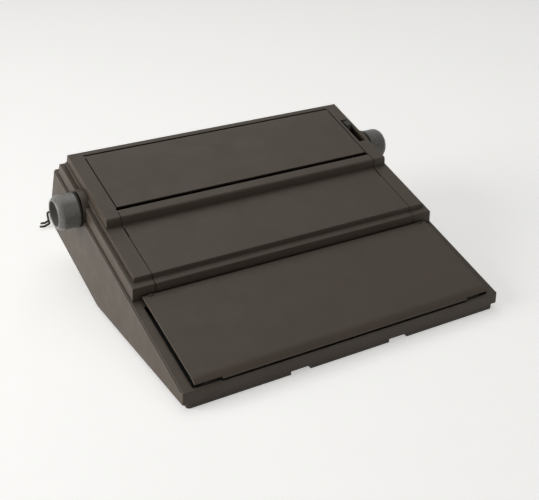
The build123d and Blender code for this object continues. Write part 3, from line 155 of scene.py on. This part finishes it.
def make_camera():
    az, el = CAMERA_AZIMUTH, CAMERA_ELEVATION
    back = Vector((math.sin(az) * math.cos(el), -math.cos(az) * math.cos(el), math.sin(el)))
    right = Vector((math.cos(az), math.sin(az), 0.0))
    up = back.cross(right)
    c, s = math.cos(CAMERA_ROLL), math.sin(CAMERA_ROLL)
    right, up = right * c + up * s, up * c - right * s
    data = bpy.data.cameras.new("camera")
    data.sensor_width = SENSOR
    data.lens = CAMERA_FOCAL * SENSOR / PHOTO_WIDTH
    data.clip_start = CAMERA_NEAR
    camera = bpy.data.objects.new("camera", data)
    bpy.context.scene.collection.objects.link(camera)
    turn = Matrix((right, up, back)).transposed().to_4x4()
    place = Vector(CAMERA_PLACE) + Vector((0, FRONT_Y, 0))
    camera.matrix_world = Matrix.Translation(place) @ turn
    bpy.context.scene.camera = camera


# Materials

class Nodes:
    """A short way to build a node material."""

    def __init__(self, name):
        self.material = bpy.data.materials.new(name)
        self.material.use_nodes = True
        self.tree = self.material.node_tree
        self.tree.nodes.clear()
        self.output = self.add("ShaderNodeOutputMaterial")
        self.shader = self.add("ShaderNodeBsdfPrincipled")
        self.link(self.shader.outputs[0], self.output.inputs["Surface"])
        self.place = self.add("ShaderNodeTexCoord").outputs["Object"]

    def add(self, kind, **settings):
        node = self.tree.nodes.new(kind)
        for key, value in settings.items():
            setattr(node, key, value)
        return node

    def link(self, source, target):
        self.tree.links.new(source, target)

    def feed(self, value, socket):
        """Links an output to the socket, or sets a colour or a number on it."""
        if hasattr(value, "is_output"):
            self.link(value, socket)
        elif isinstance(value, tuple):
            socket.default_value = (*value, 1.0)
        else:
            socket.default_value = value

    def noise(self, field, place=None):
        node = self.add("ShaderNodeTexNoise")
        for key, value in zip(("Scale", "Detail", "Roughness"), field):
            node.inputs[key].default_value = value
        self.link(place or self.place, node.inputs["Vector"])
        return node.outputs["Fac"]

    def spread(self, source, low, high, from_low=0.3, from_high=0.7):
        """Maps a value between two limits. A noise hardly leaves the limits given here."""
        node = self.add("ShaderNodeMapRange")
        self.link(source, node.inputs["Value"])
        limits = (("From Min", from_low), ("From Max", from_high), ("To Min", low), ("To Max", high))
        for key, value in limits:
            node.inputs[key].default_value = value
        return node.outputs["Result"]

    def mix(self, factor, first, second):
        """Blends two colours. Each may be a colour or a socket."""
        node = self.add("ShaderNodeMix", data_type="RGBA")
        for value, socket in ((factor, 0), (first, 6), (second, 7)):
            self.feed(value, node.inputs[socket])
        return node.outputs[2]

    def maths(self, operation, first, second):
        node = self.add("ShaderNodeMath", operation=operation)
        self.feed(first, node.inputs[0])
        self.feed(second, node.inputs[1])
        return node.outputs[0]

    def rounded(self, radius):
        """The surface's normal, as if its edges were rounded."""
        node = self.add("ShaderNodeBevel", samples=BEVEL_SAMPLES)
        node.inputs["Radius"].default_value = radius
        return node.outputs[0]

    def edge(self, radius):
        """1 on sharp edges and 0 on flat faces."""
        hard = self.add("ShaderNodeNewGeometry")
        dot = self.add("ShaderNodeVectorMath", operation="DOT_PRODUCT")
        self.link(self.rounded(radius), dot.inputs[0])
        self.link(hard.outputs["Normal"], dot.inputs[1])
        turned = self.maths("SUBTRACT", 1.0, dot.outputs["Value"])
        return self.spread(turned, 0.0, 1.0, 0.0, EDGE_FULL)

    def openness(self, reach, low, high):
        """1 on open faces, falling to 0 deep in seams, gaps and corners."""
        node = self.add("ShaderNodeAmbientOcclusion", samples=OPENNESS_SAMPLES)
        node.inputs["Distance"].default_value = reach
        return self.spread(node.outputs["AO"], 0.0, 1.0, low, high)

    def bump(self, heights, radius=0.0):
        """Chains (height, strength, depth) layers, over rounded edges when radius is not 0."""
        normal = self.rounded(radius) if radius else None
        for height, strength, depth in heights:
            node = self.add("ShaderNodeBump")
            node.inputs["Strength"].default_value = strength
            node.inputs["Distance"].default_value = depth
            self.link(height, node.inputs["Height"])
            if normal is not None:
                self.link(normal, node.inputs["Normal"])
            normal = node.outputs[0]
        self.link(normal, self.shader.inputs["Normal"])

    def finish(self, colour, roughness, **sockets):
        self.feed(colour, self.shader.inputs["Base Color"])
        self.feed(roughness, self.shader.inputs["Roughness"])
        for key, value in sockets.items():
            self.shader.inputs[key.replace("_", " ")].default_value = value
        return self.material


def shade(colour, factor):
    return tuple(min(1.0, c * factor) for c in colour)


def moulded_plastic(name, colour, roughness, grain, edge_highlight):
    """Spark-textured plastic: fine grain, faint clouding, painted highlight on the edges, and painted
    shade in seams and at the feet of steps.
    """
    nodes = Nodes(name)
    cloud = nodes.noise(CASE_CLOUD)
    smear = nodes.noise(CASE_SMEAR)
    fine = nodes.noise(CASE_GRAIN_FINE)
    coarse = nodes.noise(CASE_GRAIN_COARSE)
    tone = nodes.mix(nodes.spread(cloud, 0.0, 1.0), shade(colour, 0.93), shade(colour, 1.07))
    tone = nodes.mix(nodes.spread(fine, 0.0, 0.35), tone, shade(colour, 1.22))
    # Painted highlight: every sharp edge is drawn paler, as if lit
    edge_highlight_mask = nodes.maths("MULTIPLY", nodes.edge(CASE_EDGE), edge_highlight)
    tone = nodes.mix(edge_highlight_mask, tone, shade(colour, 2.1))
    # Painted shade: darker where the surface is closed in, at step feet and deep in seams and gaps
    for reach, low, high, dark in (STEP_FOOT_SHADE, CREVICE_SHADE):
        tone = nodes.mix(nodes.openness(reach, low, high), shade(colour, dark), tone)
    rough = nodes.maths("ADD", nodes.spread(smear, -0.05, 0.07), roughness)
    nodes.bump([(coarse, grain * 0.6, COARSE_DEPTH), (fine, grain, GRAIN_DEPTH)], CASE_ROUND)
    return nodes.finish(tone, rough, Specular_IOR_Level=CASE_SHINE)


def smooth_plastic(name, colour, roughness, scuffed=0.05):
    nodes = Nodes(name)
    cloud = nodes.noise(SMOOTH_CLOUD)
    scuff = nodes.noise(SMOOTH_SCUFF)
    tone = nodes.mix(nodes.spread(cloud, 0.0, 1.0), shade(colour, 0.92), shade(colour, 1.08))
    # Painted highlight: every sharp edge is drawn paler, as if lit
    edge_highlight_mask = nodes.maths("MULTIPLY", nodes.edge(SMOOTH_EDGE), 0.2)
    tone = nodes.mix(edge_highlight_mask, tone, shade(colour, 1.8))
    rough = nodes.maths("ADD", nodes.spread(scuff, -0.06, 0.1), roughness)
    nodes.bump([(scuff, scuffed, COARSE_DEPTH)], SMOOTH_ROUND)
    return nodes.finish(tone, rough)


def rubber(name, colour, roughness):
    """Dull rubber with a little dust on it."""
    nodes = Nodes(name)
    dust = nodes.noise(RUBBER_DUST)
    pores = nodes.noise(RUBBER_PORES)
    tone = nodes.mix(nodes.spread(dust, 0.0, 0.5), colour, shade(colour, 1.8))
    nodes.bump([(pores, 0.2, FINE_DEPTH)], RUBBER_ROUND)
    rough = nodes.spread(dust, roughness - 0.08, roughness + 0.12)
    return nodes.finish(tone, rough, Specular_IOR_Level=RUBBER_SHINE)


def metal(name, colour, roughness):
    """Brushed metal, with its scratches along X."""
    nodes = Nodes(name)
    stretched = nodes.add("ShaderNodeMapping")
    stretched.inputs["Scale"].default_value = METAL_STRETCH
    nodes.link(nodes.place, stretched.inputs["Vector"])
    scratch = nodes.noise(METAL_SCRATCH, stretched.outputs[0])
    cloud = nodes.noise(METAL_CLOUD)
    tone = nodes.mix(nodes.spread(cloud, 0.0, 1.0), shade(colour, 0.85), shade(colour, 1.1))
    nodes.bump([(scratch, 0.08, FINE_DEPTH)], METAL_ROUND)
    rough = nodes.spread(scratch, roughness - 0.08, roughness + 0.14)
    return nodes.finish(tone, rough, Metallic=1.0)


def circuit_board(name):
    """Green lacquer with copper tracks under it."""
    nodes = Nodes(name)
    brick = nodes.add("ShaderNodeTexBrick")
    nodes.link(nodes.place, brick.inputs["Vector"])
    brick.inputs["Scale"].default_value = 90.0
    brick.inputs["Mortar Size"].default_value = 0.03
    for key, colour in (("Color1", LACQUER_DARK), ("Color2", LACQUER_PALE), ("Mortar", TRACK)):
        nodes.feed(colour, brick.inputs[key])
    solder = nodes.noise(BOARD_SOLDER)
    nodes.bump([(solder, 0.1, COARSE_DEPTH)])
    return nodes.finish(brick.outputs["Color"], nodes.spread(solder, 0.25, 0.4))


def make_materials():
    """A material for each slot of the record, and one for a single node."""
    return {
        "case": moulded_plastic("case_plastic", CASE, 0.45, 0.35, 0.25),
        "knob": smooth_plastic("knob_plastic", KNOB, 0.24, scuffed=0.01),
        "rubber": rubber("black_rubber", BLACK_RUBBER, 0.62),
        "steel": metal("zinc_plated_steel", ZINC, 0.32),
        "gear": smooth_plastic("ivory_nylon", NYLON, 0.45),
        "frame": moulded_plastic("painted_frame", FRAME_PAINT, 0.45, 0.12, 0.15),
        "board": circuit_board("circuit_board"),
        "black": smooth_plastic("black_plastic", BLACK, 0.4),
        "cord": rubber("cord_jacket", CORD_BLACK, 0.42),
        "tie": smooth_plastic("tie_plastic", TIE, 0.4),
        "print_wheel": smooth_plastic("wheel_nylon", BLACK, 0.5),
        "lever": smooth_plastic("lever_plastic", LEVER, 0.55),
        "key": moulded_plastic("key_plastic", KEY, 0.5, 0.15, 0.1),
    }


# Mains lead

def coil_place(turn):
    """The coil's centre line, turn in degrees from where the free stretch meets it."""
    rate = COIL_PITCH / FULL_TURN
    outer = COIL_INNER + rate * COIL_SWEEP
    if turn <= COIL_SWEEP:
        radius, height = outer - rate * turn, CORD_LIFT
    elif turn <= COIL_SWEEP + HALF_TURN:
        part = (turn - COIL_SWEEP) / HALF_TURN
        radius = COIL_INNER - rate * HALF_TURN / math.pi * math.sin(math.pi * part)
        height = CORD_LIFT + COIL_LAYER * (1 - math.cos(math.pi * part)) / 2
    else:
        radius = COIL_INNER + rate * (turn - COIL_SWEEP - HALF_TURN)
        height = CORD_LIFT + COIL_LAYER
    radius /= math.cos(math.pi / COIL_POINTS_PER_TURN)
    angle = math.radians(COIL_START + turn)
    return Vector((COIL_CENTRE[0] + radius * math.cos(angle),
                   COIL_CENTRE[1] + FRONT_Y + radius * math.sin(angle), height))


def cord_route():
    """Control points from the strain relief, down to the desk and round the coil to the plug."""
    points = [Vector((x, y + FRONT_Y, z)) for x, y, z in FREE_STRETCH]
    steps = round(COIL_WHOLE * COIL_POINTS_PER_TURN / FULL_TURN)
    turns = [coil_place(COIL_WHOLE * i / steps) for i in range(steps + 1)]
    heading = (turns[1] - turns[0]).normalized()
    points.append(turns[0] - heading * COIL_LEAD_IN)
    points += turns
    out = turns[-1] - turns[-2]
    out.z = 0.0
    points.append(turns[-1] + out.normalized() * COIL_TAIL)
    return points


def tube(name, points, radius, material):
    """A round tube along one smooth open spline."""
    curve = bpy.data.curves.new(name, "CURVE")
    curve.dimensions = "3D"
    curve.bevel_depth = radius
    curve.bevel_resolution = TUBE_ROUNDNESS
    curve.resolution_u = TUBE_RESOLUTION
    curve.use_fill_caps = True
    line = curve.splines.new("NURBS")
    line.points.add(len(points) - 1)
    for point, place in zip(line.points, points):
        point.co = (*place, 1.0)
    line.order_u = TUBE_ORDER
    line.use_endpoint_u = True
    curve.materials.append(material)
    piece = bpy.data.objects.new(name, curve)
    bpy.context.scene.collection.objects.link(piece)
    return piece


def make_cord(materials):
    route = cord_route()
    lead = tube("mains_lead", route, CORD / 2, materials["cord"])
    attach(lead, "base")
    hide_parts("mains_cord", "cord_coil")


# The carried-over nodes

def dress_nodes(materials):
    """Gives each node its own material where there is one, and its slot's otherwise."""
    for row in frame["record"]["subparts"]:
        piece = frame["nodes"][row["node"]]
        piece.data.materials.clear()
        piece.data.materials.append(materials.get(row["node"], materials[row["material_slot"]]))
        for face in piece.data.polygons:
            face.material_index = 0


# Floor and light

def shown_ray(tree):
    """1 for rays from the camera and those that mirrors and glass send on, and 0 for others."""
    ray = tree.nodes.new("ShaderNodeLightPath")
    shown = ray.outputs["Is Camera Ray"]
    for kind in ("Is Glossy Ray", "Is Transmission Ray"):
        join = tree.nodes.new("ShaderNodeMath")
        join.operation = "MAXIMUM"
        tree.links.new(shown, join.inputs[0])
        tree.links.new(ray.outputs[kind], join.inputs[1])
        shown = join.outputs[0]
    return shown


def floor_material():
    """Pale matt board that shows a little brighter to the camera, with the object's shadow kept."""
    nodes = Nodes("floor_board")
    speck = nodes.noise(FLOOR_SPECK)
    nodes.finish(nodes.mix(nodes.spread(speck, 0.0, 1.0), FLOOR_DARK, FLOOR_PALE), FLOOR_ROUGH)
    apart = nodes.add("ShaderNodeSeparateXYZ")
    nodes.link(nodes.place, apart.inputs[0])
    strength = nodes.spread(apart.outputs["Y"], GLOW_NEAR, GLOW_FAR, GLOW_NEAR_Y, GLOW_FAR_Y)
    glow = nodes.add("ShaderNodeEmission")
    nodes.feed(GLOW_COLOUR, glow.inputs["Color"])
    nodes.link(nodes.maths("MULTIPLY", shown_ray(nodes.tree), strength), glow.inputs["Strength"])
    both = nodes.add("ShaderNodeAddShader")
    nodes.link(nodes.shader.outputs[0], both.inputs[0])
    nodes.link(glow.outputs[0], both.inputs[1])
    nodes.link(both.outputs[0], nodes.output.inputs["Surface"])
    return nodes.material


def make_stage():
    mesh = bpy.data.meshes.new("floor")
    build = bmesh.new()
    corners = ((-1, -1), (1, -1), (1, 1), (-1, 1))
    places = [(x * FLOOR_REACH, y * FLOOR_REACH, 0.0) for x, y in corners]
    build.faces.new([build.verts.new(place) for place in places])
    build.to_mesh(mesh)
    build.free()
    mesh.materials.append(floor_material())
    floor = bpy.data.objects.new("floor", mesh)
    bpy.context.scene.collection.objects.link(floor)


def area_light(name, place, target, size, power):
    data = bpy.data.lights.new(name, "AREA")
    data.shape = "RECTANGLE"
    data.size, data.size_y = size
    data.energy = power
    lamp = bpy.data.objects.new(name, data)
    lamp.location = place
    aim = Vector(target) - Vector(place)
    lamp.rotation_euler = aim.to_track_quat("-Z", "Y").to_euler()
    lamp.visible_camera = False
    bpy.context.scene.collection.objects.link(lamp)


def make_room():
    """The world: a little light on the object, and more where the room itself shows."""
    world = bpy.data.worlds.new("room")
    world.use_nodes = True
    tree = world.node_tree
    background = tree.nodes["Background"]
    background.inputs["Color"].default_value = (*ROOM_COLOUR, 1.0)
    strength = tree.nodes.new("ShaderNodeMapRange")
    tree.links.new(shown_ray(tree), strength.inputs["Value"])
    strength.inputs["To Min"].default_value = ROOM_LIGHT
    strength.inputs["To Max"].default_value = ROOM_SHOWN
    tree.links.new(strength.outputs["Result"], background.inputs["Strength"])
    bpy.context.scene.world = world


bpy.context.scene.view_settings.view_transform = "Standard"
make_camera()
materials = make_materials()
make_cord(materials)
dress_nodes(materials)
make_stage()
for lamp_row in LAMPS:
    area_light(*lamp_row)
make_room()
